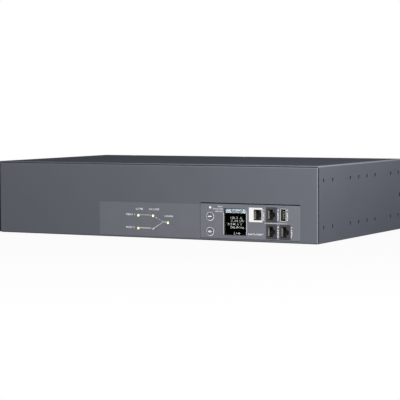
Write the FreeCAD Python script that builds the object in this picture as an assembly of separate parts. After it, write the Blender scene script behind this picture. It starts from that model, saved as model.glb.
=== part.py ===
import FreeCAD, Part
import math
import os

# Two-unit rack power distribution unit that switches its outlets between two supplies.
# Millimetres. X runs to the right seen from the front, Y from front to rear, Z up.
# The origin is the centre of the base, on the surface that the unit stands on.
V = FreeCAD.Vector
X_AXIS = V(1, 0, 0)
Y_AXIS = V(0, 1, 0)
Z_AXIS = V(0, 0, 1)

# Casing: a folded tray under a folded cover that is its top and two sides
width = 433.0
depth = 253.0
height = 88.0
sheet = 1.2
bend_radius = 2.0
cover_gap = 0.4
cover_lift = 0.6
flange_length = 12.0

# Rack ear holes: pairs near the front and the rear, and four in the middle, in two rows
ear_hole_radius = 2.25
ear_pitch = 25.4
ear_front_edge = 12.0
ear_rear_edge = 12.4
ear_low = 18.3
ear_rise = 53.0
clinch_nut_radius = 3.6
clinch_nut_bore = 2.0
clinch_nut_height = 3.0

# Countersunk screws that hold the cover
cover_screw_head = 2.7
cover_screw_shank = 1.5
cover_screw_length = 6.0
cover_screw_room = 0.05
cover_screw_recess = 0.9
cover_screw_recess_width = 0.7
side_screw_edge = 7.0
top_screw_edge = 7.0
top_screw_column = 50.5

# Circuit boards, their spacers and their screws
board_thick = 1.6
spacer_radius = 2.75
spacer_bore = 1.4
board_hole = 1.6
board_screw_head = 2.5
board_screw_head_height = 1.8
board_screw_shank = 1.3
board_screw_grip = 3.5

# Control module set in the front wall
module_right_margin = 23.5
module_width = 126.6
module_height = 39.8
module_low = 2.9
module_slot = 1.2
module_side_gap = 0.15
module_foot_gap = 0.3
module_proud = 0.4
bezel_bevel = 0.3
bezel_flange = 1.6
bezel_ear = 8.0
bezel_ear_height = 26.0
module_stud_radius = 1.5
module_stud_length = 5.5
module_stud_room = 0.2
module_nut_flats = 5.5
module_nut_height = 2.4
nut_room = 0.05
module_board_setback = 14.0
module_board_margin = 1.6
module_post_inset = 4.6
module_post_low = 3.6
module_post_rise = 32.0

# Push buttons of the control module
button_column = 12.8
button_low = 7.5
button_pitch = 17.5
button_radius = 4.2
button_room = 0.3
button_proud = 0.9
button_travel = 0.6
button_flange_radius = 5.2
button_flange_thick = 1.0
button_rest_gap = 0.1
button_stem_radius = 1.5
button_dish = 0.3
switch_size = 6.0
switch_height = 3.6
switch_plunger_radius = 1.7
switch_plunger_height = 1.0

# Status light pipe of the control module
status_light_low = 35.3
light_pipe_radius = 1.4
light_pipe_room = 0.15
light_pipe_proud = 0.5

# Display of the control module
display_left = 31.6
display_low = 4.1
display_network_gap = 3.5
display_height = 30.7
window_recess = 0.7
window_lip = 1.2
window_room = 0.2
window_thick = 1.5
panel_thick = 2.0
holder_wall = 1.5

# Sockets of the control module, with their latch notches to the right
socket_mouth_width = 6.9
socket_mouth_height = 11.9
latch_step_width = 1.5
latch_step_height = 6.4
latch_notch_width = 1.3
latch_notch_height = 4.2
socket_depth = 11.5
socket_contact = 0.5
socket_contact_length = 8.0
socket_contact_setback = 2.0
socket_contact_pitch = 1.2
socket_contacts = 8
port_room = 0.25
port_proud = 0.2
network_from_right = 63.7
network_low = 20.0
network_width = 17.1
network_height = 16.5
network_shell = 0.5
network_mouth_left = 6.2
network_mouth_margin = 0.2
network_insert_room = 0.1
jack_width = 13.2
jack_height = 16.4
jack_left_from_right = 35.4
jack_right_from_right = 18.6
jack_low_row = 9.5
jack_high_row = 28.9
host_port_from_right = 20.6
host_port_width = 7.0
host_port_height = 14.5
host_port_wall = 0.4
host_port_depth = 11.0
host_tongue_left = 1.0
host_tongue_thick = 1.9
host_tongue_height = 11.4
host_tongue_setback = 1.5

# Status overlay and its lamps, left of the control module
overlay_width = 136.0
overlay_height = 39.5
overlay_low = 2.2
overlay_thick = 0.35
overlay_gap = 0.6
lamp_first = 53.6
lamp_pitch = 20.0
lamp_low = 11.1
lamp_rise = 15.2
lamp_radius = 1.5
lamp_room = 0.1
lamp_proud = 1.0
lamp_rim_radius = 1.9
lamp_rim_thick = 1.0
status_board_gap = 5.0
status_board_margin_x = 14.0
status_board_margin_z = 8.0
status_spacer_inset = 4.0

# Rear wall: rows of sockets
rear_row_pitch = 40.0
rear_cut_room = 0.2
socket_flange_thick = 1.6
socket_flange_reach = 2.0
socket_wall = 1.8
socket_corner = 2.0
socket_body_depth = 25.0
socket_back_wall = 3.0
socket_face_setback = 0.8

# Ten ampere outlets
small_outlet_columns = 4
small_outlet_first = 148.5
small_outlet_pitch = 38.0
small_mouth_width = 28.2
small_mouth_height = 20.4
small_island_width = 23.8
small_island_height = 15.6
small_island_chamfer = 4.6
small_slot_width = 2.4
small_slot_height = 4.6
small_slot_spread = 7.0
small_earth_rise = 4.0

# Sixteen ampere outlets
large_outlet_column = 104.5
large_mouth_width = 34.0
large_mouth_height = 26.0
large_island_width = 29.0
large_island_height = 20.8
large_island_chamfer = 3.0
large_slot_width = 8.6
large_slot_height = 2.6
large_slot_spread = 6.5
large_earth_rise = 8.0

# Supply inlets
inlet_column = 26.5
inlet_mouth_width = 30.0
inlet_mouth_height = 22.4
inlet_body_depth = 28.0
inlet_back_wall = 6.0
blade_width = 8.0
blade_thick = 2.0
blade_spread = 6.5
blade_earth_rise = 8.0
blade_setback = 3.0
blade_tail = 5.0

# Circuit breakers with a button that springs out when they trip
breaker_column = 65.5
breaker_width = 15.0
breaker_height = 34.0
breaker_body_depth = 30.0
breaker_neck_radius = 4.75
breaker_neck_room = 0.15
breaker_neck_length = 7.0
breaker_bore = 3.4
breaker_guide = 12.0
breaker_button_radius = 3.1
breaker_button_proud = 2.5
breaker_trip_travel = 4.0
breaker_nut_flats = 14.0
breaker_nut_height = 2.5

# Cooling slots in the rear wall
vent_margin = 22.0
vent_slots = 11
vent_pitch = 8.6
vent_width = 5.4
vent_height = 24.0
vent_rise = 34.0

# Transfer board on the floor of the tray, and what stands on it
transfer_left_margin = 11.0
transfer_right_margin = 113.8
transfer_front = 34.0
transfer_rear_margin = 64.0
transfer_lift = 8.0
transfer_spacer_inset = 6.0
relay_width = 32.0
relay_length = 28.0
relay_height = 36.0
relay_edge = 1.0
relay_first_share = 0.17
relay_pitch_share = 0.157
relay_front = 22.0
relay_pitch_y = 38.0
sensor_radius = 12.0
sensor_bore = 6.5
sensor_thick = 10.0
sensor_share = 0.54
sensor_front = 28.0
sensor_pitch = 40.0
capacitor_width = 13.0
capacitor_length = 27.0
capacitor_height = 22.0
capacitor_share = 0.655
capacitor_front = 24.0
capacitor_pitch = 38.0
supply_width = 40.0
supply_length = 64.0
supply_height = 25.0
supply_share = 0.787
supply_front = 50.0
terminal_width = 26.0
terminal_length = 12.0
terminal_height = 15.0
terminal_from_rear = 26.0
terminal_pitch = 17.0

# Board behind the outlets, with one relay to each outlet
outlet_board_margin = 3.0
outlet_relay_width = 15.0
outlet_relay_depth = 13.0
outlet_relay_height = 26.0

# Wiring
lead_radius = 1.6
lead_bend = 9.0
earth_block_width = 14.0
earth_block_margin = 4.0
earth_block_height = 9.0
earth_from_rear = 52.0
earth_pitch = 13.0
ribbon_thick = 1.0
ribbon_width = 24.0
ribbon_bend = 8.0
ribbon_run = 46.0
status_ribbon_shift = 10.0
busbar_width = 10.0
busbar_thick = 2.0
busbar_bend = 5.0
busbar_foot = 14.0
busbar_rise = 33.0
busbar_first = 130.0
busbar_pitch = 38.0

# Places worked out from the sizes above
front_y = -depth / 2
rear_y = depth / 2
front_inner = front_y + sheet
rear_inner = rear_y - sheet
tray_half = width / 2 - sheet - cover_gap
tray_top = height - sheet - cover_gap
module_right = width / 2 - module_right_margin
module_left = module_right - module_width
module_top = module_low + module_height
bezel_face = front_y - module_proud
bezel_back = front_inner + bezel_flange
module_board_front = front_y + module_board_setback
port_face = bezel_face - port_proud
network_left = module_right - network_from_right
display_edge = module_left + display_left
display_width = network_left - display_network_gap - display_edge
overlay_right = module_left - module_side_gap - overlay_gap
overlay_left = overlay_right - overlay_width
overlay_face = front_y - overlay_thick
status_board_front = front_inner + status_board_gap
rear_rows = ((height + rear_row_pitch) / 2, (height - rear_row_pitch) / 2)
outlet_board_back = rear_inner - socket_body_depth
transfer_left = -tray_half + transfer_left_margin
transfer_right = tray_half - transfer_right_margin
transfer_width = transfer_right - transfer_left
transfer_rear = rear_y - transfer_rear_margin
transfer_low = sheet + transfer_lift
transfer_top = transfer_low + board_thick
column_left = -width / 2
breaker_bore_depth = breaker_guide + breaker_trip_travel


def block(x0, x1, y0, y1, z0, z1):
    return Part.makeBox(x1 - x0, y1 - y0, z1 - z0, V(x0, y0, z0))


def plate(centre_x, centre_z, wide, high, y0, y1):
    return block(centre_x - wide / 2, centre_x + wide / 2, y0, y1, centre_z - high / 2, centre_z + high / 2)


def rod(x, y, z, axis, radius, length):
    return Part.makeCylinder(radius, length, V(x, y, z), axis)


def tube(x, y, z, axis, outer, bore, length):
    return rod(x, y, z, axis, outer, length).cut(rod(x, y, z, axis, bore, length))


def prism(points, y0, y1):
    """A solid from an outline of (x, z) points, run along Y."""
    corners = [V(x, y0, z) for x, z in points]
    outline = Part.makePolygon(corners + corners[:1])
    return Part.Face(outline).extrude(V(0, y1 - y0, 0))


def hexagon(x, z, flats, y0, y1):
    corner = flats / math.sqrt(3)
    turns = [math.radians(60 * k + 30) for k in range(6)]
    return prism([(x + corner * math.cos(a), z + corner * math.sin(a)) for a in turns], y0, y1)


def fuse(shapes):
    return shapes[0].multiFuse(shapes[1:]).removeSplitter()


def edges_along(shape, axis, keep=lambda point: True):
    """The straight edges that run along an axis and whose middle passes a test."""
    found = []
    for edge in shape.Edges:
        start, end = edge.Vertexes[0].Point, edge.Vertexes[-1].Point
        run = end - start
        if run.Length > 0 and abs(abs(run.dot(axis)) - run.Length) < 1e-6 and keep((start + end) * 0.5):
            found.append(edge)
    return found


def rounded(shape, radius, axis, keep=lambda point: True):
    return shape.makeFillet(radius, edges_along(shape, axis, keep))


def rounded_plate(centre_x, centre_z, wide, high, y0, y1, radius):
    return rounded(plate(centre_x, centre_z, wide, high, y0, y1), radius, Y_AXIS)


def ear_columns():
    """Y of each column of ear holes."""
    front = [front_y + ear_front_edge + k * ear_pitch for k in (0, 1)]
    middle = [(k - 1.5) * ear_pitch for k in range(4)]
    rear = [rear_y - ear_rear_edge - k * ear_pitch for k in (1, 0)]
    return front + middle + rear


def ear_holes():
    rows = (ear_low, ear_low + ear_rise)
    return [
        rod(-width, y, z, X_AXIS, ear_hole_radius, 2 * width) for y in ear_columns() for z in rows
    ]


def clinch_nuts():
    wall = tray_half - sheet
    nuts = []
    for y in ear_columns():
        for z in (ear_low, ear_low + ear_rise):
            for x in (-wall, wall - clinch_nut_height):
                nuts.append(tube(x, y, z, X_AXIS, clinch_nut_radius, clinch_nut_bore, clinch_nut_height))
    return Part.makeCompound(nuts)


def cover_screw_places():
    """Where each cover screw's head lies, and the way that it points."""
    side_y = rear_y - side_screw_edge
    sides = [(V(s * width / 2, side_y, height / 2), V(-s, 0, 0)) for s in (-1, 1)]
    top_y = rear_y - top_screw_edge
    reach = width / 2 - top_screw_column
    tops = [(V(x, top_y, height), V(0, 0, -1)) for x in (-reach, 0, reach)]
    return sides + tops


def turned(shape, place, direction):
    """A shape made along +Z at the origin, turned to point in a direction at a place."""
    shape.Placement = FreeCAD.Placement(place, FreeCAD.Rotation(Z_AXIS, direction))
    return shape


def countersink(room=0.0):
    head_depth = cover_screw_head - cover_screw_shank
    head = Part.makeCone(cover_screw_head + room, cover_screw_shank + room, head_depth)
    shank = Part.makeCylinder(cover_screw_shank + room, cover_screw_length, V(0, 0, 0))
    return fuse([head, shank])


def cover_screws():
    screws = []
    reach, half = cover_screw_head, cover_screw_recess_width / 2
    for place, direction in cover_screw_places():
        cross = [
            block(-reach * 0.6, reach * 0.6, -half, half, 0, cover_screw_recess),
            block(-half, half, -reach * 0.6, reach * 0.6, 0, cover_screw_recess),
        ]
        screws.append(turned(countersink().cut(cross), place, direction))
    return Part.makeCompound(screws)


def cover_screw_holes():
    return [turned(countersink(cover_screw_room), p, d) for p, d in cover_screw_places()]


def module_stud_places():
    reach = module_side_gap + bezel_ear / 2
    middle = module_low + module_height / 2
    return [(module_left - reach, middle), (module_right + reach, middle)]


def lamp_places():
    """Centre of each status lamp: both supplies, then the output."""
    first = overlay_left + lamp_first
    rows = {"source_a": lamp_low + lamp_rise, "source_b": lamp_low}
    places = {}
    for source, z in rows.items():
        places[source + "_power_lamp"] = (first, z)
        places[source + "_selected_lamp"] = (first + lamp_pitch, z)
    places["output_lamp"] = (first + 2 * lamp_pitch, lamp_low + lamp_rise / 2)
    return places


def small_outlet_places():
    columns = [column_left + small_outlet_first + k * small_outlet_pitch for k in range(small_outlet_columns)]
    return [(x, z) for z in rear_rows for x in columns]


def large_outlet_places():
    return [(column_left + large_outlet_column, z) for z in rear_rows]


def inlet_places():
    return [(column_left + inlet_column, z) for z in rear_rows]


def breaker_places():
    return [(column_left + breaker_column, z) for z in rear_rows]


def front_openings():
    module = block(
        module_left - module_side_gap, module_right + module_side_gap,
        front_y - sheet, front_inner + sheet,
        module_low - module_foot_gap, module_top + module_slot,
    )
    radius = lamp_radius + lamp_room
    lamps = [rod(x, front_y - sheet, z, Y_AXIS, radius, 3 * sheet) for x, z in lamp_places().values()]
    return [module] + lamps


def socket_opening(x, z, mouth_width, mouth_height):
    wide = mouth_width + 2 * (socket_wall + rear_cut_room)
    high = mouth_height + 2 * (socket_wall + rear_cut_room)
    return rounded_plate(x, z, wide, high, rear_inner - sheet, rear_y + sheet, socket_corner)


def vent_rows():
    """Middle height of each row of cooling slots."""
    return [height / 2 + share * vent_rise for share in (-0.5, 0.5)]


def vent_column(k):
    return width / 2 - vent_margin - k * vent_pitch


def rear_openings():
    cuts = [socket_opening(x, z, small_mouth_width, small_mouth_height) for x, z in small_outlet_places()]
    cuts += [socket_opening(x, z, large_mouth_width, large_mouth_height) for x, z in large_outlet_places()]
    cuts += [socket_opening(x, z, inlet_mouth_width, inlet_mouth_height) for x, z in inlet_places()]
    neck = breaker_neck_radius + breaker_neck_room
    cuts += [rod(x, rear_inner - sheet, z, Y_AXIS, neck, 3 * sheet) for x, z in breaker_places()]
    for k in range(vent_slots):
        x = vent_column(k)
        for middle in vent_rows():
            slot = plate(x, middle, vent_width, vent_height, rear_inner - sheet, rear_y + sheet)
            cuts.append(rounded(slot, vent_width * 0.499, Y_AXIS))
    return cuts


def base_tray():
    """Folded and welded floor, front, rear and sides, with a return along the top of front and rear."""

    def folded(shrink):
        low, high = shrink, tray_top - shrink
        half = tray_half - shrink
        solid = block(-half, half, front_y + shrink, rear_y - shrink, low, high)
        radius = bend_radius - shrink
        edges = edges_along(solid, Z_AXIS)
        edges += edges_along(solid, Y_AXIS, lambda p: abs(p.z - low) < 1e-6)
        edges += edges_along(solid, X_AXIS)
        return solid.makeFillet(radius, edges)

    tray = folded(0).cut(folded(sheet))
    inside = tray_half - sheet
    mouth = block(
        -inside, inside, front_y + flange_length, rear_y - flange_length, tray_top - 2 * sheet, height
    )
    cuts = [mouth] + ear_holes() + cover_screw_holes() + front_openings() + rear_openings()
    tray = tray.cut(cuts)
    radius, length = module_stud_radius, module_stud_length
    studs = [rod(x, front_inner, z, Y_AXIS, radius, length) for x, z in module_stud_places()]
    return fuse([tray] + studs)


def top_cover():
    """One sheet folded into top and two sides."""

    def folded(shrink, extra):
        half, low = width / 2 - shrink, cover_lift - extra
        solid = block(-half, half, front_y - extra, rear_y + extra, low, height - shrink)
        return rounded(solid, bend_radius - shrink, Y_AXIS, lambda p: p.z > height / 2)

    cover = folded(0, 0).cut(folded(sheet, sheet))
    return cover.cut(ear_holes() + cover_screw_holes())


def socket_outline(left, middle):
    """Outline of a data socket's mouth: its wires on the left, its latch notch on the right."""
    steps = [
        (0, socket_mouth_height / 2),
        (socket_mouth_width, socket_mouth_height / 2),
        (socket_mouth_width, latch_step_height / 2),
        (socket_mouth_width + latch_step_width, latch_step_height / 2),
        (socket_mouth_width + latch_step_width, latch_notch_height / 2),
        (socket_mouth_width + latch_step_width + latch_notch_width, latch_notch_height / 2),
    ]
    upper = [(left + x, middle + z) for x, z in steps]
    lower = [(left + x, middle - z) for x, z in reversed(steps)]
    return upper + lower


def jack_places():
    """Left edge of the mouth and middle height of each plain data jack."""
    reach = (socket_mouth_width + latch_step_width + latch_notch_width) / 2
    left, right = module_right - jack_left_from_right, module_right - jack_right_from_right
    low, high = module_low + jack_low_row, module_low + jack_high_row
    return [(left - reach, high), (left - reach, low), (right - reach, low)]


def network_mouth():
    """Left edge of the mouth and middle height of the shielded network jack."""
    middle = module_low + network_low + network_height / 2
    return network_left + network_mouth_left, middle


def jack_centre(left):
    return left + (socket_mouth_width + latch_step_width + latch_notch_width) / 2


def host_port_centre():
    return module_right - host_port_from_right, module_low + jack_high_row


def button_places():
    x = module_left + button_column
    return [(x, module_low + button_low + button_pitch), (x, module_low + button_low)]


def module_post_places():
    columns = (module_left + module_post_inset, module_right - module_post_inset)
    rows = (module_low + module_post_low, module_low + module_post_low + module_post_rise)
    return [(x, z) for x in columns for z in rows]


def display_centre():
    x = display_edge + display_width / 2
    return x, module_low + display_low + display_height / 2


def module_bezel():
    """Moulded front of the control module, with ears behind the front wall and posts for its board."""
    front = block(module_left, module_right, bezel_face, bezel_back, module_low, module_top)
    rim = []
    for axis in (X_AXIS, Z_AXIS):
        rim += edges_along(front, axis, lambda p: p.y < bezel_face + bezel_bevel)
    front = front.makeChamfer(bezel_bevel, rim)
    middle = module_low + module_height / 2
    ear_low_z, ear_high_z = middle - bezel_ear_height / 2, middle + bezel_ear_height / 2
    reach = bezel_ear + module_side_gap
    ears = [
        block(module_left - reach, module_left, front_inner, bezel_back, ear_low_z, ear_high_z),
        block(module_right, module_right + reach, front_inner, bezel_back, ear_low_z, ear_high_z),
    ]
    post_length = module_board_front - bezel_back
    posts = [rod(x, bezel_back, z, Y_AXIS, spacer_radius, post_length) for x, z in module_post_places()]
    bezel = fuse([front] + ears + posts)

    back = module_board_front + sheet
    stud = module_stud_radius + module_stud_room
    cuts = [rod(x, front_y, z, Y_AXIS, stud, back - front_y) for x, z in module_stud_places()]
    cuts += [rod(x, bezel_back, z, Y_AXIS, spacer_bore, post_length) for x, z in module_post_places()]
    hole = button_radius + button_room
    cuts += [rod(x, port_face, z, Y_AXIS, hole, back - port_face) for x, z in button_places()]
    pipe = light_pipe_radius + light_pipe_room
    x, z = status_light_place()
    cuts.append(rod(x, port_face, z, Y_AXIS, pipe, back - port_face))
    x, z = display_centre()
    cuts.append(plate(x, z, display_width, display_height, port_face, back))
    wide, high = display_width + 2 * window_lip, display_height + 2 * window_lip
    cuts.append(plate(x, z, wide, high, bezel_face + window_recess, back))
    x = network_left + network_width / 2
    wide, high = network_width + 2 * port_room, network_height + 2 * port_room
    cuts.append(plate(x, network_mouth()[1], wide, high, port_face, back))
    wide, high = jack_width + 2 * port_room, jack_height + 2 * port_room
    cuts += [plate(jack_centre(left), z, wide, high, port_face, back) for left, z in jack_places()]
    x, z = host_port_centre()
    wide, high = host_port_width + 2 * port_room, host_port_height + 2 * port_room
    cuts.append(plate(x, z, wide, high, port_face, back))
    return bezel.cut(cuts)


def module_board():
    margin = module_board_margin
    board = block(
        module_left + margin, module_right - margin,
        module_board_front, module_board_front + board_thick,
        module_low + margin / 2, module_top - margin,
    )
    holes = [rod(x, module_board_front, z, Y_AXIS, board_hole, board_thick) for x, z in module_post_places()]
    return board.cut(holes)


def nut(x, z, flats, bore, seat, thick):
    return hexagon(x, z, flats, seat, seat + thick).cut(rod(x, seat, z, Y_AXIS, bore, thick))


def hex_nuts():
    """Nuts on the module's studs and on the breakers' necks."""
    stud = module_stud_radius + nut_room
    neck = breaker_neck_radius + nut_room
    nuts = [nut(x, z, module_nut_flats, stud, bezel_back, module_nut_height) for x, z in module_stud_places()]
    nuts += [nut(x, z, breaker_nut_flats, neck, rear_y, breaker_nut_height) for x, z in breaker_places()]
    return Part.makeCompound(nuts)


def push_button(x, z):
    """Round cap with a shallow dish, a flange that holds it behind the bezel and a stem."""
    face = bezel_face - button_proud
    flange_front = bezel_back + button_rest_gap
    flange_back = flange_front + button_flange_thick
    stem_end = module_board_front - switch_height - switch_plunger_height - button_travel - button_rest_gap
    cap = rod(x, face, z, Y_AXIS, button_radius, flange_back - face)
    cap = cap.makeFillet(button_dish, [e for e in cap.Edges if abs(e.CenterOfMass.y - face) < 1e-6])
    flange = rod(x, flange_front, z, Y_AXIS, button_flange_radius, button_flange_thick)
    stem = rod(x, flange_back, z, Y_AXIS, button_stem_radius, stem_end - flange_back)
    dish_radius = (button_radius ** 2 + button_dish ** 2) / (2 * button_dish)
    dish = Part.makeSphere(dish_radius, V(x, face + button_dish - dish_radius, z))
    return fuse([cap, flange, stem]).cut(dish)


def button_switches():
    switches = []
    for x, z in button_places():
        front = module_board_front - switch_height
        body = plate(x, z, switch_size, switch_size, front, module_board_front)
        tip = front - switch_plunger_height
        plunger = rod(x, tip, z, Y_AXIS, switch_plunger_radius, switch_plunger_height)
        switches.append(fuse([body, plunger]))
    return Part.makeCompound(switches)


def status_light_place():
    return module_left + button_column, module_low + status_light_low


def module_light_pipe():
    x, z = status_light_place()
    tip = bezel_face - light_pipe_proud
    pipe = rod(x, tip, z, Y_AXIS, light_pipe_radius, module_board_front - tip)
    return pipe.makeFillet(light_pipe_proud, [e for e in pipe.Edges if abs(e.CenterOfMass.y - tip) < 1e-6])


def window_size():
    spare = 2 * (window_lip - window_room)
    return display_width + spare, display_height + spare


def display_window():
    front = bezel_face + window_recess
    return plate(*display_centre(), *window_size(), front, front + window_thick)


def display_panel():
    front = bezel_face + window_recess + window_thick
    return plate(*display_centre(), *window_size(), front, front + panel_thick)


def display_holder():
    front = bezel_face + window_recess + window_thick + panel_thick
    wide, high = window_size()
    x, z = display_centre()
    frame = plate(x, z, wide, high, front, module_board_front)
    return frame.cut(plate(x, z, wide - 2 * holder_wall, high - 2 * holder_wall, front, module_board_front))


def network_jack_shell():
    """Plated shell, open at the back, with the socket's mouth in its face."""
    x, z = network_left + network_width / 2, network_mouth()[1]
    shell = plate(x, z, network_width, network_height, port_face, module_board_front)
    inner_wide, inner_high = network_width - 2 * network_shell, network_height - 2 * network_shell
    inside = plate(x, z, inner_wide, inner_high, port_face + network_shell, module_board_front)
    left, margin = network_mouth()[0], network_mouth_margin
    mouth_wide = socket_mouth_width + latch_step_width + latch_notch_width + 2 * margin
    mouth_x = left - margin + mouth_wide / 2
    mouth_high = socket_mouth_height + 2 * margin
    mouth = plate(mouth_x, z, mouth_wide, mouth_high, port_face, port_face + network_shell)
    return shell.cut([inside, mouth])


def network_jack_insert():
    x, z = network_left + network_width / 2, network_mouth()[1]
    spare = 2 * (network_shell + network_insert_room)
    front = port_face + network_shell + network_insert_room
    insert = plate(x, z, network_width - spare, network_height - spare, front, module_board_front)
    return insert.cut(prism(socket_outline(*network_mouth()), front, port_face + socket_depth))


def data_jack(left, middle):
    x = jack_centre(left)
    jack = plate(x, middle, jack_width, jack_height, port_face, module_board_front)
    return jack.cut(prism(socket_outline(left, middle), port_face, port_face + socket_depth))


def socket_contact_wires():
    """Contact wires along the left wall of every data socket."""
    wires = []
    front = port_face + socket_contact_setback
    for left, middle in [network_mouth()] + jack_places():
        for k in range(socket_contacts):
            z = middle + (k - (socket_contacts - 1) / 2) * socket_contact_pitch
            low, high = z - socket_contact / 2, z + socket_contact / 2
            wires.append(block(left, left + socket_contact, front, front + socket_contact_length, low, high))
    return Part.makeCompound(wires)


def host_port_shell():
    x, z = host_port_centre()
    shell = plate(x, z, host_port_width, host_port_height, port_face, module_board_front)
    wide, high = host_port_width - 2 * host_port_wall, host_port_height - 2 * host_port_wall
    return shell.cut(plate(x, z, wide, high, port_face, module_board_front))


def host_port_tongue():
    """Contact tongue on the block that closes the back of the port."""
    x, z = host_port_centre()
    spare = 2 * (host_port_wall + network_insert_room)
    foot_front = port_face + host_port_depth
    foot = plate(x, z, host_port_width - spare, host_port_height - spare, foot_front, module_board_front)
    left = x - host_port_width / 2 + host_tongue_left
    front = port_face + host_tongue_setback
    low, high = z - host_tongue_height / 2, z + host_tongue_height / 2
    tongue = block(left, left + host_tongue_thick, front, foot_front, low, high)
    return fuse([foot, tongue])


def status_overlay():
    sheet_low, sheet_high = overlay_low, overlay_low + overlay_height
    label = block(overlay_left, overlay_right, overlay_face, front_y, sheet_low, sheet_high)
    radius = lamp_radius + lamp_room
    spots = lamp_places().values()
    return label.cut([rod(x, overlay_face, z, Y_AXIS, radius, overlay_thick) for x, z in spots])


def status_lamp(x, z):
    """Round-nosed lamp with a rim that stands on its board, turned about its own axis."""
    tip = overlay_face - lamp_proud
    nose = (lamp_radius ** 2 + lamp_proud ** 2) / (2 * lamp_proud)
    half_turn = math.asin(lamp_radius / nose) / 2
    on_nose = V(x + nose * math.sin(half_turn), tip + nose * (1 - math.cos(half_turn)), z)
    rim_front = status_board_front - lamp_rim_thick
    corners = [
        V(x + lamp_radius, overlay_face, z),
        V(x + lamp_radius, rim_front, z),
        V(x + lamp_rim_radius, rim_front, z),
        V(x + lamp_rim_radius, status_board_front, z),
        V(x, status_board_front, z),
        V(x, tip, z),
    ]
    arc = Part.Arc(corners[-1], on_nose, corners[0]).toShape()
    lines = [Part.LineSegment(a, b).toShape() for a, b in zip(corners, corners[1:])]
    return Part.Face(Part.Wire([arc] + lines)).revolve(V(x, tip, z), Y_AXIS, 360)


def status_board_box():
    xs = [x for x, z in lamp_places().values()]
    zs = [z for x, z in lamp_places().values()]
    low_x, high_x = min(xs) - status_board_margin_x, max(xs) + status_board_margin_x
    return low_x, high_x, min(zs) - status_board_margin_z, max(zs) + status_board_margin_z


def status_spacer_places():
    low_x, high_x, low_z, high_z = status_board_box()
    inset = status_spacer_inset
    return [(x, z) for x in (low_x + inset, high_x - inset) for z in (low_z + inset, high_z - inset)]


def status_board():
    low_x, high_x, low_z, high_z = status_board_box()
    board = block(low_x, high_x, status_board_front, status_board_front + board_thick, low_z, high_z)
    spots = status_spacer_places()
    return board.cut([rod(x, status_board_front, z, Y_AXIS, board_hole, board_thick) for x, z in spots])


def socket_body(x, z, mouth_width, mouth_height, body_depth):
    """Body of a rear socket, filled in, with the flange that lies on the rear wall."""
    wide, high = mouth_width + 2 * socket_wall, mouth_height + 2 * socket_wall
    body = rounded_plate(x, z, wide, high, rear_inner - body_depth, rear_y, socket_corner)
    wide, high = wide + 2 * socket_flange_reach, high + 2 * socket_flange_reach
    corner = socket_corner + socket_flange_reach / 2
    flange = rounded_plate(x, z, wide, high, rear_y, rear_y + socket_flange_thick, corner)
    return fuse([body, flange])


def chamfered_outline(x, z, wide, high, chamfer):
    """Outline with its two upper corners cut off, as on a mains socket."""
    return [
        (x - wide / 2, z - high / 2),
        (x + wide / 2, z - high / 2),
        (x + wide / 2, z + high / 2 - chamfer),
        (x + wide / 2 - chamfer, z + high / 2),
        (x - wide / 2 + chamfer, z + high / 2),
        (x - wide / 2, z + high / 2 - chamfer),
    ]


def outlet(x, z, mouth, island, chamfer, slot, spread, earth_rise):
    """Rear outlet: a well round an island with three contact slots."""
    face = rear_y + socket_flange_thick
    floor = rear_inner - socket_body_depth + socket_back_wall
    body = socket_body(x, z, mouth[0], mouth[1], socket_body_depth)
    well = rounded_plate(x, z, mouth[0], mouth[1], floor, face, socket_corner)
    core = prism(chamfered_outline(x, z, island[0], island[1], chamfer), floor, face - socket_face_setback)
    body = body.cut(well.cut(core))
    low, high = z - earth_rise / 2, z + earth_rise / 2
    spots = ((x - spread, low), (x + spread, low), (x, high))
    return body.cut([plate(cx, cz, slot[0], slot[1], floor, face) for cx, cz in spots])


def small_outlet(x, z):
    return outlet(
        x, z, (small_mouth_width, small_mouth_height), (small_island_width, small_island_height),
        small_island_chamfer, (small_slot_width, small_slot_height), small_slot_spread, small_earth_rise,
    )


def large_outlet(x, z):
    return outlet(
        x, z, (large_mouth_width, large_mouth_height), (large_island_width, large_island_height),
        large_island_chamfer, (large_slot_width, large_slot_height), large_slot_spread, large_earth_rise,
    )


def blade_places(x, z):
    low, high = z - blade_earth_rise / 2, z + blade_earth_rise / 2
    return [(x - blade_spread, low), (x + blade_spread, low), (x, high)]


def supply_inlet(x, z):
    """Rear inlet: a deep well whose three blades stand in its floor."""
    body = socket_body(x, z, inlet_mouth_width, inlet_mouth_height, inlet_body_depth)
    floor = rear_inner - inlet_body_depth + inlet_back_wall
    face = rear_y + socket_flange_thick
    well = rounded_plate(x, z, inlet_mouth_width, inlet_mouth_height, floor, face, socket_corner)
    back = floor - inlet_back_wall
    slots = [plate(cx, cz, blade_width, blade_thick, back, floor) for cx, cz in blade_places(x, z)]
    return body.cut([well] + slots)


def inlet_blades():
    back = rear_inner - inlet_body_depth - blade_tail
    tip = rear_y + socket_flange_thick - blade_setback
    spots = [spot for place in inlet_places() for spot in blade_places(*place)]
    return Part.makeCompound([plate(x, z, blade_width, blade_thick, back, tip) for x, z in spots])


def breaker_body(x, z):
    body = plate(x, z, breaker_width, breaker_height, rear_inner - breaker_body_depth, rear_inner)
    tip = rear_y + breaker_neck_length
    neck = rod(x, rear_inner, z, Y_AXIS, breaker_neck_radius, tip - rear_inner)
    bore = rod(x, tip - breaker_bore_depth, z, Y_AXIS, breaker_bore, breaker_bore_depth)
    return fuse([body, neck]).cut(bore)


def breaker_button(x, z):
    tip = rear_y + breaker_neck_length + breaker_button_proud
    foot = rear_y + breaker_neck_length - breaker_bore_depth + button_rest_gap
    button = rod(x, foot, z, Y_AXIS, breaker_button_radius, tip - foot)
    return button.makeFillet(button_dish, [e for e in button.Edges if abs(e.CenterOfMass.y - tip) < 1e-6])


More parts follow.
